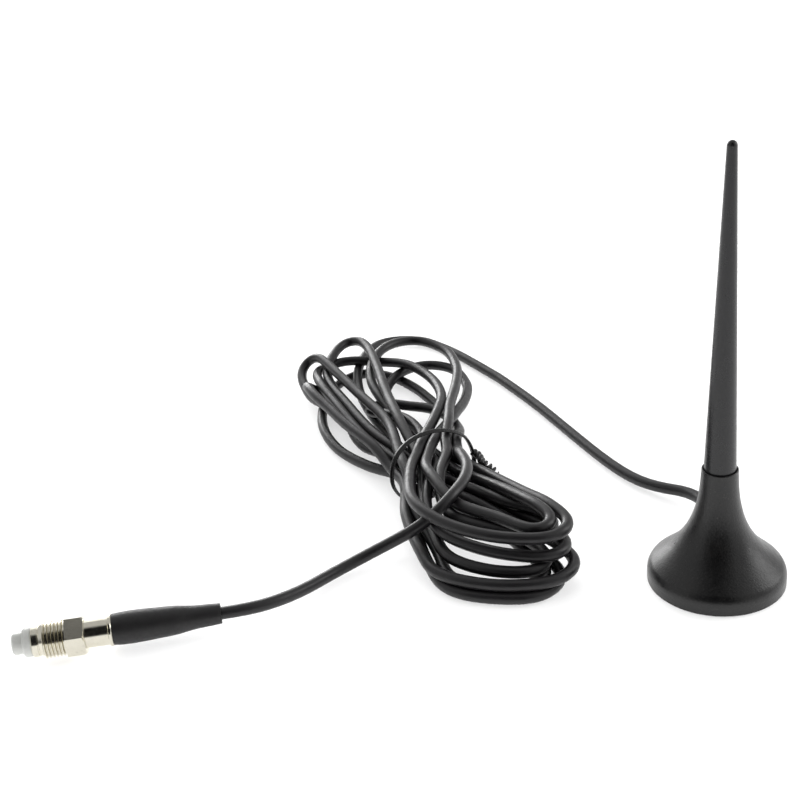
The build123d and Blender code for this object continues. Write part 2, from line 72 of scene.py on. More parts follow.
# ---------------------------------------------------------------------------
# Materials: each is a small graph of noise, colour and roughness
# ---------------------------------------------------------------------------
class Graph:
    """A material's node graph, with short calls for the nodes used here."""

    def __init__(self, name):
        self.material = bpy.data.materials.new(name)
        self.material.use_nodes = True
        self.tree = self.material.node_tree
        self.shader = self.tree.nodes["Principled BSDF"]
        self.place = self.new("ShaderNodeTexCoord").outputs["Object"]

    def new(self, kind, **settings):
        node = self.tree.nodes.new(kind)
        for key, value in settings.items():
            setattr(node, key, value)
        return node

    def link(self, source, target):
        self.tree.links.new(source, target)

    def stretch(self, sx, sy, sz):
        """The object's own coordinates in millimetres, stretched along each axis."""
        node = self.new("ShaderNodeMapping")
        node.inputs["Scale"].default_value = (sx * 1000, sy * 1000, sz * 1000)
        self.link(self.place, node.inputs["Vector"])
        return node.outputs["Vector"]

    def noise(self, size, detail=3.0, rough=0.55, at=None):
        """Noise with blobs about size millimetres across."""
        node = self.new("ShaderNodeTexNoise")
        node.inputs["Scale"].default_value = 1.0 / size
        node.inputs["Detail"].default_value = detail
        node.inputs["Roughness"].default_value = rough
        self.link(at or self.stretch(1, 1, 1), node.inputs["Vector"])
        return node.outputs["Fac"]

    def span(self, value, low, high, to_low, to_high):
        """value from low..high spread over to_low..to_high."""
        node = self.new("ShaderNodeMapRange")
        self.link(value, node.inputs["Value"])
        names = ("From Min", "From Max", "To Min", "To Max")
        for name, number in zip(names, (low, high, to_low, to_high)):
            node.inputs[name].default_value = number
        return node.outputs["Result"]

    def blend(self, factor, first, second):
        """Mix two colours, each a triple or a socket."""
        node = self.new("ShaderNodeMix", data_type="RGBA")
        self.link(factor, node.inputs[0])
        for number, colour in ((6, first), (7, second)):
            if isinstance(colour, tuple):
                node.inputs[number].default_value = (*colour, 1)
            else:
                self.link(colour, node.inputs[number])
        return node.outputs[2]

    def math(self, kind, first, second):
        node = self.new("ShaderNodeMath", operation=kind)
        for number, value in enumerate((first, second)):
            if isinstance(value, (int, float)):
                node.inputs[number].default_value = value
            else:
                self.link(value, node.inputs[number])
        return node.outputs[0]

    def bump(self, height, depth, after=None):
        """depth is the height of the relief in millimetres."""
        node = self.new("ShaderNodeBump")
        node.inputs["Strength"].default_value = 1.0
        node.inputs["Distance"].default_value = depth * MM
        self.link(height, node.inputs["Height"])
        if after is not None:
            self.link(after, node.inputs["Normal"])
        return node.outputs["Normal"]

    def facing_up(self):
        """How far the surface faces up, from -1 to 1."""
        geometry = self.new("ShaderNodeNewGeometry")
        split = self.new("ShaderNodeSeparateXYZ")
        self.link(geometry.outputs["Normal"], split.inputs[0])
        return split.outputs["Z"]

    def finish(self, colour=None, roughness=None, normal=None, **constants):
        if colour is not None:
            self.link(colour, self.shader.inputs["Base Color"])
        if roughness is not None:
            self.link(roughness, self.shader.inputs["Roughness"])
        if normal is not None:
            self.link(normal, self.shader.inputs["Normal"])
        for name, value in constants.items():
            self.shader.inputs[name.replace("_", " ").title()].default_value = value
        return self.material


def mast_plastic():
    """Semi-gloss black moulding with a faint orange peel and a little dust."""
    g = Graph("mast_plastic")
    cloud = g.noise(9.0, 4, 0.6)
    dust = g.span(g.noise(0.35, 2, 0.7), 0.62, 0.8, 0.0, 0.5)
    colour = g.blend(cloud, (0.009, 0.009, 0.0105), (0.014, 0.0135, 0.015))
    colour = g.blend(dust, colour, (0.05, 0.049, 0.048))
    roughness = g.span(g.noise(3.0, 4, 0.6), 0.3, 0.7, 0.24, 0.33)
    peel = g.bump(g.noise(0.9, 2, 0.5), 0.012)
    return g.finish(colour, roughness, g.bump(g.noise(0.18, 2, 0.6), 0.002, after=peel))


def base_plastic():
    """Black moulding with a fine grain, and softer grey where it is handled."""
    g = Graph("base_plastic")
    cloud = g.span(g.noise(6.0, 4, 0.6), 0.35, 0.7, 0, 1)
    colour = g.blend(cloud, (0.0055, 0.0055, 0.006), (0.0095, 0.009, 0.009))
    speck = g.span(g.noise(0.4, 2, 0.6), 0.6, 0.76, 0, 0.6)
    colour = g.blend(speck, colour, (0.045, 0.043, 0.04))
    roughness = g.span(g.noise(1.5, 4, 0.6), 0.3, 0.7, 0.27, 0.36)
    grain = g.bump(g.noise(0.45, 3, 0.65), 0.055)
    return g.finish(colour, roughness, grain)


def pad_rubber():
    g = Graph("pad_rubber")
    colour = g.blend(g.noise(1.2, 5, 0.65), (0.018, 0.018, 0.018), (0.04, 0.039, 0.038))
    roughness = g.span(g.noise(0.8, 4, 0.6), 0.3, 0.7, 0.7, 0.9)
    return g.finish(colour, roughness, g.bump(g.noise(0.25, 3, 0.6), 0.03))


def cable_jacket():
    """Satin dark PVC: paler where it faces up, which is painted light on the tops, with fine
    scuffs and slight waviness.
    """
    g = Graph("cable_jacket")
    patch = g.span(g.noise(7.0, 4, 0.6), 0.35, 0.7, 0, 1)
    colour = g.blend(patch, (0.006, 0.0055, 0.0065), (0.011, 0.010, 0.0115))
    # painted light: the colour turns paler as the surface faces up, standing for the light on
    # the strands' tops
    up = g.span(g.facing_up(), 0.3, 1.0, 0.0, 0.5)
    colour = g.blend(up, colour, (0.025, 0.023, 0.025))
    scuff = g.span(g.noise(0.4, 3, 0.7), 0.6, 0.8, 0, 0.3)
    colour = g.blend(scuff, colour, (0.075, 0.07, 0.07))
    roughness = g.span(g.noise(1.6, 4, 0.6), 0.3, 0.7, 0.33, 0.48)
    wave = g.bump(g.noise(2.4, 3, 0.5), 0.06)
    return g.finish(colour, roughness, g.bump(g.noise(0.22, 3, 0.6), 0.012, after=wave))


def sleeve_plastic():
    """Matte heat-shrink tube, with slight ripples where it has drawn in."""
    g = Graph("sleeve_plastic")
    patch = g.noise(3.0, 4, 0.6)
    colour = g.blend(patch, (0.007, 0.0065, 0.007), (0.014, 0.013, 0.014))
    roughness = g.span(g.noise(0.9, 4, 0.6), 0.3, 0.7, 0.42, 0.62)
    ripple = g.bump(g.noise(1.6, 3, 0.55, g.stretch(1.6, 0.5, 0.5)), 0.08)
    return g.finish(colour, roughness, g.bump(g.noise(0.3, 3, 0.6), 0.012, after=ripple))


def tie_plastic():
    g = Graph("tie_plastic")
    colour = g.blend(g.noise(1.0, 4, 0.6), (0.005, 0.005, 0.0055), (0.010, 0.0095, 0.0095))
    roughness = g.span(g.noise(0.6, 3, 0.6), 0.3, 0.7, 0.20, 0.32)
    return g.finish(colour, roughness, g.bump(g.noise(0.5, 3, 0.6), 0.03))


def metal(name, dark, light, grime, low, high, grain, depth):
    """Plated or turned metal: uneven tint, grime in spots, fine tool marks."""
    g = Graph(name)
    colour = g.blend(g.noise(2.5, 4, 0.6), dark, light)
    spots = g.span(g.noise(0.7, 4, 0.7), 0.6, 0.8, 0.0, 0.7)
    colour = g.blend(spots, colour, grime)
    roughness = g.span(g.noise(1.0, 4, 0.65), 0.3, 0.7, low, high)
    relief = g.bump(g.noise(grain, 3, 0.6), depth)
    return g.finish(colour, roughness, relief, metallic=1.0)


def plain_plastic(name, dark, light, low, high):
    """Natural or white plastic: faint clouding and soft moulding marks."""
    g = Graph(name)
    colour = g.blend(g.noise(1.8, 4, 0.6), dark, light)
    roughness = g.span(g.noise(0.9, 3, 0.6), 0.3, 0.7, low, high)
    return g.finish(colour, roughness, g.bump(g.noise(0.4, 3, 0.6), 0.01))


def woven_braid():
    """Tinned braid: two sets of fine crossing wires, the second mirrored."""
    g = Graph("tinned_braid")
    wires = []
    for mirror in (1, -1):
        wire = g.new("ShaderNodeTexWave", bands_direction="DIAGONAL")
        wire.inputs["Scale"].default_value = 1.4
        g.link(g.stretch(mirror, 1, 1), wire.inputs["Vector"])
        wires.append(wire.outputs["Fac"])
    weave = g.math("MAXIMUM", *wires)
    colour = g.blend(weave, (0.28, 0.27, 0.25), (0.70, 0.69, 0.66))
    roughness = g.span(g.noise(0.6, 3, 0.6), 0.3, 0.7, 0.28, 0.42)
    return g.finish(colour, roughness, g.bump(weave, 0.06), metallic=1.0)


MATERIALS = {
    "mast_plastic": mast_plastic(),
    "base_plastic": base_plastic(),
    "pad_rubber": pad_rubber(),
    "cable_jacket": cable_jacket(),
    "sleeve_plastic": sleeve_plastic(),
    "tie_plastic": tie_plastic(),
    "tinned_braid": woven_braid(),
    "jack_nickel": metal(
        "jack_nickel", (0.64, 0.61, 0.52), (0.78, 0.75, 0.65), (0.30, 0.27, 0.20),
        0.10, 0.22, 0.35, 0.006,
    ),
    "nickel_plate": metal(
        "nickel_plate", (0.55, 0.54, 0.51), (0.70, 0.69, 0.65), (0.30, 0.28, 0.25),
        0.18, 0.34, 0.4, 0.01,
    ),
    "tinned_steel": metal(
        "tinned_steel", (0.50, 0.50, 0.50), (0.64, 0.64, 0.62), (0.28, 0.27, 0.25),
        0.25, 0.42, 0.6, 0.01,
    ),
    "brass": metal(
        "brass", (0.62, 0.45, 0.20), (0.76, 0.59, 0.31), (0.30, 0.20, 0.09),
        0.20, 0.36, 0.3, 0.008,
    ),
    "copper_wire": metal(
        "copper_wire", (0.62, 0.31, 0.16), (0.78, 0.45, 0.27), (0.30, 0.13, 0.07),
        0.20, 0.36, 0.3, 0.008,
    ),
    "solder": metal(
        "solder", (0.50, 0.50, 0.51), (0.68, 0.68, 0.69), (0.34, 0.33, 0.32),
        0.16, 0.36, 0.5, 0.03,
    ),
    "contact_gold": metal(
        "contact_gold", (0.72, 0.52, 0.20), (0.86, 0.68, 0.34), (0.45, 0.30, 0.12),
        0.14, 0.24, 0.3, 0.004,
    ),
    "insulator_plastic": plain_plastic(
        "insulator_plastic", (0.72, 0.70, 0.64), (0.86, 0.85, 0.80), 0.38, 0.52
    ),
    "cable_dielectric": plain_plastic(
        "cable_dielectric", (0.78, 0.78, 0.76), (0.90, 0.90, 0.88), 0.30, 0.45
    ),
    "jack_white": plain_plastic(
        "jack_white", (0.74, 0.75, 0.71), (0.86, 0.87, 0.84), 0.28, 0.40
    ),
}

for part in frame["record"]["subparts"]:
    mesh = NODES[part["node"]].data
    mesh.materials.clear()
    mesh.materials.append(MATERIALS[part["material_slot"]])

# ---------------------------------------------------------------------------
# The cable: lead, hank of spare turns, and lead to the jack
# ---------------------------------------------------------------------------
CABLE_D = 2.8
CABLE_R = CABLE_D / 2
# how far apart the hank's points are along the cable
SPACING = 2.0
# the least distance between the middles of two strands
STRAND_GAP = CABLE_D * 1.015
# the bend's radius below which a turn is eased while it settles
TIGHTEST = 5.5
# the hank settles in rounds: how many there are, how often close pairs are looked for,
# within how many gaps, and at least how many points apart along the cable
ROUNDS = 300
PAIR_SEARCH = 8
PAIR_REACH = 1.7
PAIR_APART = 6
# how hard a pair is pushed apart, the share of its shift that a strand keeps each round,
# and the share of the rounds after which the turns only come to rest
PUSH = 1.1
SHIFT_KEPT = 0.997
REST_START = 0.8
# how many points at each end give way less and less towards the end
HELD_POINTS = 10

# where the cable leaves the base and runs over the floor to the hank
ANTENNA_ROUTE = [
    (2.605, 14.772, 4.1), (3.8, 21.6, 4.1), (3.6, 27.6, 3.9), (0.9, 33.2, 3.2),
    (-4.2, 37.4, 2.3), (-9.4, 43.6, 1.6), (-14.6, 54.2, 1.4), (-21.2, 72.0, 1.4),
    (-28.2, 91.5, 1.4), (-36.6, 110.5, 1.4), (-46.5, 128.5, 1.4),
]
# from the top of the hank down to the sleeve behind the jack
JACK_ROUTE = [
    (-62.5, 17.4, 10.4), (-68.0, 16.8, 7.2), (-76.0, 16.8, 3.2), (-84.5, 12.4, 1.6),
    (-91.5, 4.1, 2.8), (-97.7, -1.6, 4.1), (-103.8, -4.3, 4.6), (-110.6, -5.1, 4.6),
]
# The tie gathers the hank: its centre, the way the bundle runs through it, and the room inside
TIE_CENTRE = np.array([-59.9, 52.05, 6.6])
TIE_BEARING = -63.0
TIE_HALF_WIDTH = 11.0
TIE_HALF_HEIGHT = 5.8
# the power that rounds the room inside: 2 is an ellipse, and more is squarer
TIE_SHAPE = 2.5
# half the length that the tie grips, and how far out a strand still belongs to it
TIE_GRIP = 2.2
TIE_CATCH = 17
# how far each strand's guide points are from the tie's middle
TIE_REACH = 4

# over the top of the far turns and down their left side, to the tie
LEAD_IN = [
    (-51.5, 136.0, 1.4), (-57.5, 142.0, 1.8), (-65, 142.8, 2.6), (-71.5, 138.3, 3.8),
    (-76, 129.5, 4.4), (-78.3, 118, 4.2), (-78.0, 106, 3.6), (-74.5, 91, 2.8),
    (-68.5, 73, 2.4),
]
# out of the top of the tie, over the near turns and down to the floor
LEAD_OUT = [
    (-52.7, 47.0, 11.6), (-51.6, 37.5, 13.0), (-53.0, 28.6, 13.9), (-57.0, 20.6, 13.8),
]
# turns on the near side of the tie: the tip at the right, the front corner at the left,
# how round the tip is, how far the front bows out, the heights at the tip and at the
# corner, and how far left the turn's left side lies
NEAR_TURNS = [
    ((-34.8, 2.8), (-58.8, 1.7), 6.5, 2.4, 1.4, 1.4, -62.6),
    ((-31.6, 8.5), (-58.3, 11.5), 5.0, 3.2, 10.6, 11.4, -64.9),
    ((-29.8, 5.2), (-60.4, 5.0), 6.5, 3.7, 3.7, 3.7, -64.0),
    ((-36.4, 6.2), (-57.8, 5.6), 4.6, 2.6, 1.7, 1.9, -60.2),
    ((-36.0, 6.1), (-58.4, 9.4), 4.5, 3.0, 5.5, 5.5, -61.4),
    ((-33.5, 13.5), (-56.5, 21.0), 4.0, 2.0, 8.6, 9.4, -58.8),
    ((-35.2, 8.8), (-56.6, 22.6), 3.8, 0.8, 12.4, 12.8, -60.2),
    ((-33.0, 8.0), (-59.5, 13.5), 5.0, 3.4, 7.4, 8.0, -63.2),
]
# turns on the far side of the tie: the places that each one passes, with its height
FAR_TURNS = [
    # lowest, out on the left and back along the floor
    [
        (-75.8, 60.5, 2.0), (-83.8, 72, 1.4), (-88.2, 84.5, 1.4), (-89.2, 95.5, 1.4),
        (-88, 105.5, 1.4), (-84, 116.5, 1.4), (-77.5, 121.5, 1.4), (-70, 118.5, 1.4),
        (-63.5, 110.5, 1.4), (-58.4, 100, 1.4), (-55, 90, 1.4), (-52.2, 77, 2.5),
    ],
    # broad, up the right side and far out to the left
    [
        (-57, 71, 10.5), (-55, 86, 9), (-57.9, 102.2, 7.5), (-64.6, 113.9, 6.5),
        (-74.7, 120.0, 5), (-84, 121.0, 5), (-89.8, 115.5, 5), (-89.7, 105.5, 5),
        (-84.1, 89.8, 5), (-75.5, 69.5, 5),
    ],
    # narrow, folded back under itself on the left
    [
        (-74.0, 60.0, 8.2), (-81.6, 72.5, 9.2), (-87.2, 83.4, 9.9), (-91.0, 90.6, 10.3),
        (-92.6, 95.6, 10.0), (-93.2, 100.6, 7.8), (-91.2, 103.6, 5.2), (-87.6, 100.2, 4.2),
        (-82.5, 90.0, 4.0), (-75.5, 71.0, 3.4),
    ],
    # narrow, the longest of those on the left
    [
        (-69.8, 72.5, 8.5), (-76.6, 90, 8.5), (-83.8, 108, 8.8), (-86.8, 115.4, 8.9),
        (-89.2, 119.6, 8.7), (-91.8, 120.6, 7.4), (-93.2, 116.4, 5.4), (-91.2, 108.4, 4.4),
        (-85.5, 95, 4), (-76, 74, 3.6),
    ],
    # the tall loop that stands out at the top
    [
        (-67.3, 70.8, 10), (-70.2, 87, 10), (-73, 107.5, 10), (-75.6, 120.5, 9.8),
        (-78.2, 126.2, 9.4), (-81.6, 127.8, 8.8), (-84.9, 124.3, 8), (-88.2, 114, 6.4),
        (-87.0, 104.5, 6), (-82.2, 90.5, 6), (-74.3, 71, 5.5),
    ],
    # a broad arch, up the right side and over the top
    [
        (-54.4, 66, 10.2), (-53.3, 77, 9), (-50.6, 92, 8), (-49.4, 106, 7),
        (-52.0, 119.5, 6.5), (-59.9, 127.2, 6.5), (-68.0, 124.6, 6.5), (-73.2, 116, 5.5),
        (-74.6, 104, 5), (-71.5, 90, 4.0), (-65.5, 74, 3.0),
    ],
    # bulges furthest to the right
    [
        (-51.7, 75.1, 8), (-47.8, 90, 5.5), (-46.8, 103.4, 4), (-50.6, 114.5, 4),
        (-58.4, 118.2, 4), (-66, 113.5, 4), (-70.3, 103.5, 3.2), (-68.3, 92, 1.8),
        (-62.0, 75, 1.8),
    ],
    # short, turns inside the others
    [
        (-62, 67, 7.5), (-65.5, 77, 6.5), (-71, 84, 4.8), (-75, 89.5, 3.4),
        (-71.5, 94.0, 3.2), (-64, 90.5, 3.8), (-57.5, 87, 4.2), (-53.2, 80, 4.8),
        (-51.6, 71.5, 6.2), (-51.6, 64, 8.4),
    ],
]
# places in the tie: across it, up from the floor, and how much the strand slants.
# Strands from the far side pass through low, and strands from the near side on top.
FROM_FAR = [
    (-0.4, 2.4, 0), (7.2, 4.4, -0.1), (-4.9, 5.2, 0), (1.0, 5.1, 0), (-3.4, 2.4, 0),
    (-1.9, 5.1, 0), (5.2, 2.6, 0), (2.4, 2.4, 0), (8.0, 9.4, 0.55),
]
FROM_NEAR = [
    (-7.6, 3.0, 0.1), (-3.7, 10.6, 0.95), (-9.2, 5.6, 0.1), (-7.2, 8.4, 0.3),
    (-3.6, 7.9, 0.35), (4.9, 10.1, 0.6), (0.7, 10.6, 0.9), (-0.4, 7.8, 0.2),
]


def heading(bearing, length=1.0):
    angle = math.radians(bearing)
    return np.array([math.cos(angle), math.sin(angle), 0.0]) * length


# the way the bundle runs through the tie, and the way across it
RUN = heading(TIE_BEARING)
SIDE = heading(TIE_BEARING + 90)


def tie_place(place, along):
    """The point at that place in the tie, along millimetres towards the near side."""
    across, up, slant = place
    middle = np.array([TIE_CENTRE[0], TIE_CENTRE[1], up])
    sideways = heading(TIE_BEARING + 90, across - slant * along)
    return middle + sideways + heading(TIE_BEARING, along)


def through_tie(place, along):
    """A strand's two guide points in the tie, in the order that it passes them."""
    return [tie_place(place, -along), tie_place(place, along)]


def near_turn(start, end, tip, corner, head, bow, tip_height, corner_height, left_x):
    """Out along the right side, round the tip, back along the front and up the left."""
    tip = np.array([*tip, tip_height])
    corner = np.array([*corner, corner_height])
    shoulder = tip + np.array([-0.5 * head, 1.45 * head, 0])
    front = tip + np.array([-0.75 * head, -head, 0.1])
    middle = (front + corner) / 2 + np.array([0, -bow, 0])
    left = np.array([left_x, corner[1] + 10.5, corner_height + 0.3])
    rise = (left + end) / 2 + np.array([-1.0, 0, 0.2])
    out = [start + (shoulder - start) * share for share in (0.33, 0.68)]
    return [*out, shoulder, tip, front, middle, corner, left, rise]


def hank_guides():
    """The places that the cable passes, from the last of the floor run to the jack lead."""
    guides = [np.array(p, float) for p in ANTENNA_ROUTE[-2:] + LEAD_IN]
    for low, near, high, far in zip(FROM_FAR, NEAR_TURNS, FROM_NEAR, FAR_TURNS):
        guides += through_tie(low, TIE_REACH)
        guides += near_turn(tie_place(low, TIE_REACH), tie_place(high, TIE_REACH), *near)
        guides += through_tie(high, -TIE_REACH)
        guides += [np.array(p, float) for p in far]
    guides += [tie_place(FROM_FAR[-1], -TIE_REACH), tie_place(FROM_FAR[-1], TIE_REACH - 1)]
    guides += [np.array(p, float) for p in LEAD_OUT + JACK_ROUTE[:2]]
    return guides


def smooth_line(guides, step):
    """A curve through the guides (centripetal Catmull-Rom), as evenly spaced points."""
    line = [2 * guides[0] - guides[1], *guides, 2 * guides[-1] - guides[-2]]
    points = []
    for a, b, c, d in zip(line, line[1:], line[2:], line[3:]):
        t1 = np.linalg.norm(b - a) ** 0.5
        t2 = t1 + np.linalg.norm(c - b) ** 0.5
        t3 = t2 + np.linalg.norm(d - c) ** 0.5
        count = max(int(round(np.linalg.norm(c - b))), 1)
        for t in np.linspace(t1, t2, count, endpoint=False):
            ab = a + (b - a) * t / t1
            bc = b + (c - b) * (t - t1) / (t2 - t1)
            cd = c + (d - c) * (t - t2) / (t3 - t2)
            abc = ab + (bc - ab) * t / t2
            bcd = bc + (cd - bc) * (t - t1) / (t3 - t1)
            points.append(abc + (bcd - abc) * (t - t1) / (t2 - t1))
    points = np.array([*points, line[-2]])
    steps = np.linalg.norm(np.diff(points, axis=0), axis=1)
    travelled = np.concatenate([[0], np.cumsum(steps)])
    even = np.linspace(0, travelled[-1], int(round(travelled[-1] / step)) + 1)
    points = np.stack([np.interp(even, travelled, points[:, k]) for k in range(3)], 1)
    # smoothing that alternates inwards and outwards, so that the turns don't shrink
    for weight in [0.2, -0.21] * 10:
        points[1:-1] += weight * (points[:-2] + points[2:] - 2 * points[1:-1])
    return points


def close_pairs(points, reach, apart):
    """Pairs of points nearer than reach that are at least apart steps along the cable."""
    gaps = ((points[:, None] - points[None]) ** 2).sum(2)
    return np.where(np.triu(gaps < reach**2, apart))


def open_bends(points, free, spread=3):
    """Eases the bends that are tighter than TIGHTEST, measured over spread steps."""
    sag = (points[: -2 * spread] + points[2 * spread :]) / 2 - points[spread:-spread]
    size = np.maximum(np.linalg.norm(sag, axis=1), 1e-9)
    allowed = (spread * SPACING) ** 2 / (2 * TIGHTEST)
    extra = sag * (np.maximum(size - allowed, 0) / size)[:, None] / 4
    move = np.zeros_like(points)
    move[spread:-spread] += extra
    move[: -2 * spread] -= extra / 2
    move[2 * spread :] -= extra / 2
    return points + move * free


def held_in_tie(points):
    """Pulls the strands at the tie back into the room inside it."""
    room = (TIE_HALF_WIDTH - CABLE_R, TIE_HALF_HEIGHT - CABLE_R)
    place = points - TIE_CENTRE
    across = place @ SIDE
    level = (abs(across) / room[0]) ** TIE_SHAPE
    level += (abs(place[:, 2]) / room[1]) ** TIE_SHAPE
    level = level ** (1 / TIE_SHAPE)
    caught = (abs(place @ RUN) < TIE_GRIP) & (abs(across) < TIE_CATCH) & (level > 1)
    pull = np.where(caught, 1 / np.maximum(level, 1e-9) - 1, 0)
    points += SIDE * (pull * across)[:, None]
    points[:, 2] += pull * place[:, 2]
    return points


def settle(start):
    """Pushes overlapping strands apart, holds them in the tie and above the floor.

    Only the push is smoothed, so that the turns keep the shape they were given.
    """
    points = start.copy()
    free = np.ones((len(points), 1))
    free[:HELD_POINTS, 0] = np.linspace(0, 1, HELD_POINTS) ** 2
    free[-HELD_POINTS:, 0] = np.linspace(1, 0, HELD_POINTS) ** 2
    for number in range(ROUNDS):
        if number % PAIR_SEARCH == 0:
            first, second = close_pairs(points, STRAND_GAP * PAIR_REACH, PAIR_APART)
        apart = points[second] - points[first]
        size = np.linalg.norm(apart, axis=1) + 1e-9
        push = apart / size[:, None] * (np.maximum(STRAND_GAP - size, 0) / 2)[:, None]
        move = np.zeros_like(points)
        count = np.zeros(len(points))
        np.add.at(move, first, -push)
        np.add.at(move, second, push)
        np.add.at(count, first, size < STRAND_GAP)
        np.add.at(count, second, size < STRAND_GAP)
        points = points + move * free * PUSH / np.maximum(count**0.5, 1)[:, None]
        late = number > ROUNDS * REST_START
        shift = points - start
        for _ in range(2 if late else 6):
            shift[1:-1] += (shift[:-2] + shift[2:] - 2 * shift[1:-1]) / 4
            shift *= free
        points = start + shift * (1.0 if late else SHIFT_KEPT)
        points = held_in_tie(open_bends(points, free))
        points[:, 2] = np.maximum(points[:, 2], CABLE_R)
    return points


HANK = settle(smooth_line(hank_guides(), SPACING))
CABLE_POINTS = [*ANTENNA_ROUTE[:-2], *HANK, *JACK_ROUTE[2:]]


def shared_finish(piece, slot):
    """Every added piece has its slot's material and rides the one body."""
    piece.data.materials.append(MATERIALS[slot])
    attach(piece, "root")
    return piece


curve = bpy.data.curves.new("antenna_cable", "CURVE")
curve.dimensions = "3D"
curve.bevel_depth = CABLE_R * MM
curve.bevel_resolution = 5
curve.resolution_u = 3
curve.use_fill_caps = True
spline = curve.splines.new("NURBS")
spline.points.add(len(CABLE_POINTS) - 1)
for point, (x, y, z) in zip(spline.points, CABLE_POINTS):
    point.co = (x * MM, y * MM, z * MM, 1)
spline.order_u = 3
spline.use_endpoint_u = True
cable = bpy.data.objects.new("antenna_cable", curve)
bpy.context.scene.collection.objects.link(cable)
shared_finish(cable, "cable_jacket")
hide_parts("antenna_lead", "cable_hank", "jack_lead")


def swept(name, path, sides, normals, profiles, slot, closed):
    """A mesh piece: at each point of the path, a profile of (sideways, outward) places."""
    mesh = bmesh.new()
    rings = []
    for point, side, normal, profile in zip(path, sides, normals, profiles):
        ring = [point + side * u + normal * v for u, v in profile]
        rings.append([mesh.verts.new(Vector(p) * MM) for p in ring])
    joins = list(zip(rings, rings[1:])) + ([(rings[-1], rings[0])] if closed else [])
    for near, far in joins:
        for k in range(len(near)):
            following = (k + 1) % len(near)
            face = mesh.faces.new((near[k], near[following], far[following], far[k]))
            face.smooth = True
    if not closed:
        for cap in (rings[0], rings[-1]):
            mesh.faces.new(cap)
    bmesh.ops.recalc_face_normals(mesh, faces=mesh.faces)
    data = bpy.data.meshes.new(name)
    mesh.to_mesh(data)
    mesh.free()
    piece = bpy.data.objects.new(name, data)
    bpy.context.scene.collection.objects.link(piece)
    return shared_finish(piece, slot)


# ---------------------------------------------------------------------------
# The twist tie: a flat plastic-coated ribbon round the hank, its ends twisted together
# ---------------------------------------------------------------------------
RIBBON_HALF = 0.92
# across the ribbon: thin at its edges and thick over the wire in its middle
RIBBON = [
    (-RIBBON_HALF, 0.08), (-0.84, 0.24), (-0.44, 0.22), (-0.32, 0.52), (-0.14, 0.68),
    (0.14, 0.68), (0.32, 0.52), (0.44, 0.22), (0.84, 0.24), (RIBBON_HALF, 0.08),
    (0.8, 0.0), (0.0, -0.02), (-0.8, 0.0),
]
# the ring leans: its top is towards the far turns
RING_LEAN = 0.7
RING_SHIFT = 1.8
# how far round the ring its bends are evened out, in degrees
RING_ROUNDING = 38
# how much of the clearance that the evening out takes away is given back, as a share
RING_LIFT = 0.75
# how much wider than that the ring stands, as a factor
RING_WIDEN = 1.09
# how far above the floor the ribbon's inner face stays
RING_LOWEST = 0.8
# a point of the cable is in the ring when it is this near the ring's plane, and this
# near the tie's centre, across and in height
NEAR_PLANE = 1.6
NEAR_MIDDLE = 16
NEAR_HEIGHT = 9
UP = np.array([0.0, 0.0, 1.0])
place = HANK - TIE_CENTRE
off_plane = place @ RUN - RING_SHIFT + RING_LEAN * place[:, 2]
crossing = abs(off_plane) < NEAR_PLANE
crossing &= (abs(place @ SIDE) < NEAR_MIDDLE) & (abs(place[:, 2]) < NEAR_HEIGHT)
strands = np.stack([place[crossing] @ SIDE, place[crossing][:, 2]], 1)


def ring_outline(margin, count=144):
    """A rounded outline round the strands in the tie, as evenly spaced places."""
    angles = np.radians(np.arange(0, 360, 1.0))
    aims = np.stack([np.cos(angles), np.sin(angles)], 1)
    reach = (strands @ aims.T).max(axis=0) + CABLE_R + margin
    window = np.cos(np.radians(np.linspace(-90, 90, 2 * RING_ROUNDING + 1)))
    wrapped = np.concatenate([reach[-RING_ROUNDING:], reach, reach[:RING_ROUNDING]])
    rounded = np.convolve(wrapped, window / window.sum(), "valid")
    rounded += (reach - rounded).max() * RING_LIFT
    slope = (np.roll(rounded, -1) - np.roll(rounded, 1)) / (2 * math.radians(1))
    crosswise = np.stack([-aims[:, 1], aims[:, 0]], 1)
    outline = (aims * rounded[:, None] + crosswise * slope[:, None]) * (RING_WIDEN, 1)
    outline[:, 1] = np.maximum(outline[:, 1], RING_LOWEST - TIE_CENTRE[2])
    outline = np.array([*outline, outline[0]])
    steps = np.linalg.norm(np.diff(outline, axis=0), axis=1)
    travelled = np.concatenate([[0], np.cumsum(steps)])
    even = np.linspace(0, travelled[-1], count, endpoint=False)
    return np.stack([np.interp(even, travelled, outline[:, k]) for k in range(2)], 1)


def unit_rows(vectors):
    return vectors / np.linalg.norm(vectors, axis=1)[:, None]


outline = ring_outline(0.1)
ring_path = np.array([
    TIE_CENTRE + SIDE * u + UP * w + RUN * (RING_SHIFT - RING_LEAN * w) for u, w in outline
])
ahead = unit_rows(np.roll(ring_path, -1, axis=0) - np.roll(ring_path, 1, axis=0))
flat = unit_rows(np.roll(outline, -1, axis=0) - np.roll(outline, 1, axis=0))
ring_normals = np.array([SIDE * t[1] - UP * t[0] for t in flat])
ring_sides = unit_rows(np.cross(ahead, ring_normals))
tie_ring = swept(
    "tie_ring", ring_path, ring_sides, ring_normals, [RIBBON] * len(outline),
    "tie_plastic", True,
)

# the ends leave the ring at its right, twist round each other and spread at the tip
TAIL_BEARING = -66.0
TAIL_LENGTH = 11.0
TAIL_TURNS = 3.6
TAIL_RINGS = 70
TAIL_GAP = 0.3
# how far each end is from the twist's middle, how much further at the tip, and where
# along the twist the spreading starts and how long it is, as shares of the length
TAIL_SPREAD = 0.62
TIP_SPREAD = 0.5
TIP_START = 0.86
TIP_SHARE = 0.14
# how far the tip droops, and how far and how fast the twist wavers sideways
TAIL_DROOP = 1.6
TAIL_WAVER = 0.35
WAVER_RATE = 9
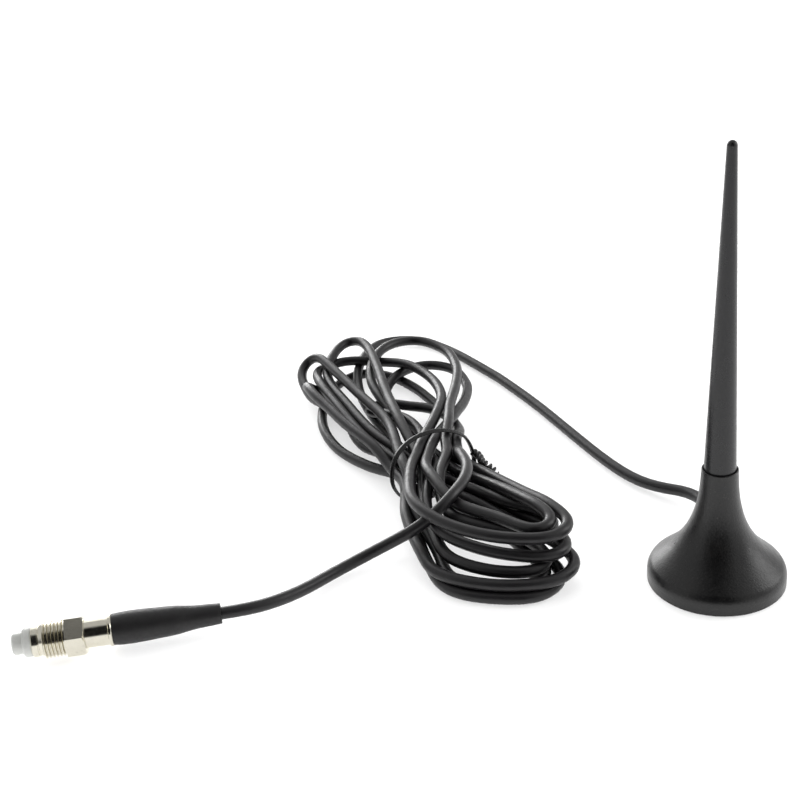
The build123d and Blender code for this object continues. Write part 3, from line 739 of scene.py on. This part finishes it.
# half of an end's width and thickness, the share of both that is left at the tip, and
# how fast they shrink to it
TAIL_HALF_WIDTH = 0.62
TAIL_HALF_THICKNESS = 0.45
POINT_SHARE = 0.25
POINT_RATE = 12
TAIL_CORNERS = np.linspace(0, math.tau, 10, endpoint=False)
tail_start = TIE_CENTRE + SIDE * (outline[:, 0].max() + TAIL_GAP) + RUN * RING_SHIFT
tail_run = heading(TAIL_BEARING)
tail_side = heading(TAIL_BEARING + 90)


def tail_shape(phase):
    """One twisted end: its path and its profile at each point."""
    path = []
    profiles = []
    for share in np.linspace(0, 1, TAIL_RINGS):
        angle = phase + math.tau * TAIL_TURNS * share
        spread = TAIL_SPREAD + TIP_SPREAD * max(share - TIP_START, 0) / TIP_SHARE
        droop = UP * (-TAIL_DROOP * share**2)
        waver = tail_side * (TAIL_WAVER * math.sin(share * WAVER_RATE))
        middle = tail_start + tail_run * TAIL_LENGTH * share + droop + waver
        turned = tail_side * math.cos(angle) + UP * math.sin(angle)
        path.append(middle + turned * spread)
        size = POINT_SHARE + (1 - POINT_SHARE) * min(1, (1 - share) * POINT_RATE)
        wide = TAIL_HALF_WIDTH * size
        thick = TAIL_HALF_THICKNESS * size
        profiles.append([(wide * math.cos(c), thick * math.sin(c)) for c in TAIL_CORNERS])
    return np.array(path), profiles


for number, phase in enumerate((0.0, math.pi)):
    path, profiles = tail_shape(phase)
    ahead = unit_rows(np.gradient(path, axis=0))
    middles = tail_start + np.outer((path - tail_start) @ tail_run, tail_run)
    outward = path - middles
    outward -= ahead * (outward * ahead).sum(1)[:, None]
    outward = unit_rows(outward)
    across = np.cross(ahead, outward)
    swept(f"tie_tail_{number}", path, across, outward, profiles, "tie_plastic", False)
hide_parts("twist_tie")

# ---------------------------------------------------------------------------
# Floor and light
# ---------------------------------------------------------------------------
def floor_white():
    g = Graph("floor_white")
    colour = g.blend(g.noise(60.0, 2, 0.5), (0.93, 0.93, 0.93), (0.95, 0.95, 0.95))
    return g.finish(colour, roughness=g.span(g.noise(20.0, 2, 0.5), 0, 1, 0.6, 0.7))


FLOOR_HALF = 12
floor_corners = [
    (x * FLOOR_HALF, y * FLOOR_HALF, 0) for x, y in ((-1, -1), (1, -1), (1, 1), (-1, 1))
]
floor_mesh = bpy.data.meshes.new("floor")
floor_mesh.from_pydata(floor_corners, [], [(0, 1, 2, 3)])
floor = bpy.data.objects.new("floor", floor_mesh)
bpy.context.scene.collection.objects.link(floor)
floor_mesh.materials.append(floor_white())


def panel(name, place, target, width, height, power):
    """A soft box that faces the target."""
    data = bpy.data.lights.new(name, "AREA")
    data.shape = "RECTANGLE"
    data.size = width
    data.size_y = height
    data.energy = power
    lamp = bpy.data.objects.new(name, data)
    lamp.location = place
    aim = Vector(target) - Vector(place)
    lamp.rotation_euler = aim.to_track_quat("-Z", "Y").to_euler()
    bpy.context.scene.collection.objects.link(lamp)


# the room: pale all round, with a tall dark opening on the camera's side
ROOM_BRIGHT = 0.6
ROOM_DARK = 0.01
# how far left of straight ahead of the object the opening's middle is, in degrees
OPENING_LEFT = 13
# where the opening is dark and where the room is pale again, in degrees: to each side of
# its middle, at its top, and between the horizon and its foot
OPENING_SIDE = (33, 47)
OPENING_TOP = (66, 84)
OPENING_FOOT = (1, 7)
world = bpy.data.worlds.new("studio")
world.use_nodes = True
tree = world.node_tree
tree.nodes["Background"].inputs["Color"].default_value = (1, 1, 1, 1)
split = tree.nodes.new("ShaderNodeSeparateXYZ")
tree.links.new(tree.nodes.new("ShaderNodeTexCoord").outputs["Generated"], split.inputs[0])


def world_math(kind, first, second=0.0):
    node = tree.nodes.new("ShaderNodeMath")
    node.operation = kind
    for number, value in enumerate((first, second)):
        if isinstance(value, (int, float)):
            node.inputs[number].default_value = value
        else:
            tree.links.new(value, node.inputs[number])
    return node.outputs[0]


def fade(value, full, none):
    """1 where value is below full and 0 above none, in degrees, with a soft edge."""
    node = tree.nodes.new("ShaderNodeMapRange")
    node.interpolation_type = "SMOOTHSTEP"
    limits = (math.radians(full), math.radians(none), 1.0, 0.0)
    for name, number in zip(("From Min", "From Max", "To Min", "To Max"), limits):
        node.inputs[name].default_value = number
    tree.links.new(value, node.inputs["Value"])
    return node.outputs["Result"]


toward_camera = world_math("MULTIPLY", split.outputs["Y"], -1.0)
bearing = world_math("ARCTAN2", split.outputs["X"], toward_camera)
azimuth = world_math("ABSOLUTE", world_math("ADD", bearing, math.radians(OPENING_LEFT)))
elevation = world_math("ARCSINE", split.outputs["Z"])
dark = world_math("MULTIPLY", fade(azimuth, *OPENING_SIDE), fade(elevation, *OPENING_TOP))
above_foot = world_math("SUBTRACT", 1.0, fade(elevation, *OPENING_FOOT))
dark = world_math("MULTIPLY", dark, above_foot)
strength = world_math("MULTIPLY_ADD", dark, ROOM_DARK - ROOM_BRIGHT)
strength.node.inputs[2].default_value = ROOM_BRIGHT
tree.links.new(strength, tree.nodes["Background"].inputs["Strength"])
bpy.context.scene.world = world

# soft boxes over the hank, at the left and, weaker, at the right
panel("top_box", (-0.25, 0.75, 0.60), (-0.05, 0.06, 0), 0.9, 0.4, 1.1)
panel("left_box", (-0.30, 0.76, 0.16), (0, 0.02, 0.04), 0.36, 0.3, 2.2)
panel("right_box", (0.65, 0.1, 0.35), (0, 0.02, 0.04), 0.4, 0.5, 1.6)

# a wash on the floor alone, so that it stays as white as the photographer's sweep
wash_data = bpy.data.lights.new("floor_wash", "SUN")
wash_data.energy = 2.2
wash_data.angle = 0.5
wash_data.use_shadow = False
wash = bpy.data.objects.new("floor_wash", wash_data)
bpy.context.scene.collection.objects.link(wash)
lit = bpy.data.collections.new("floor_only")
lit.objects.link(floor)
wash.light_linking.receiver_collection = lit
bpy.context.scene.view_settings.view_transform = "Standard"
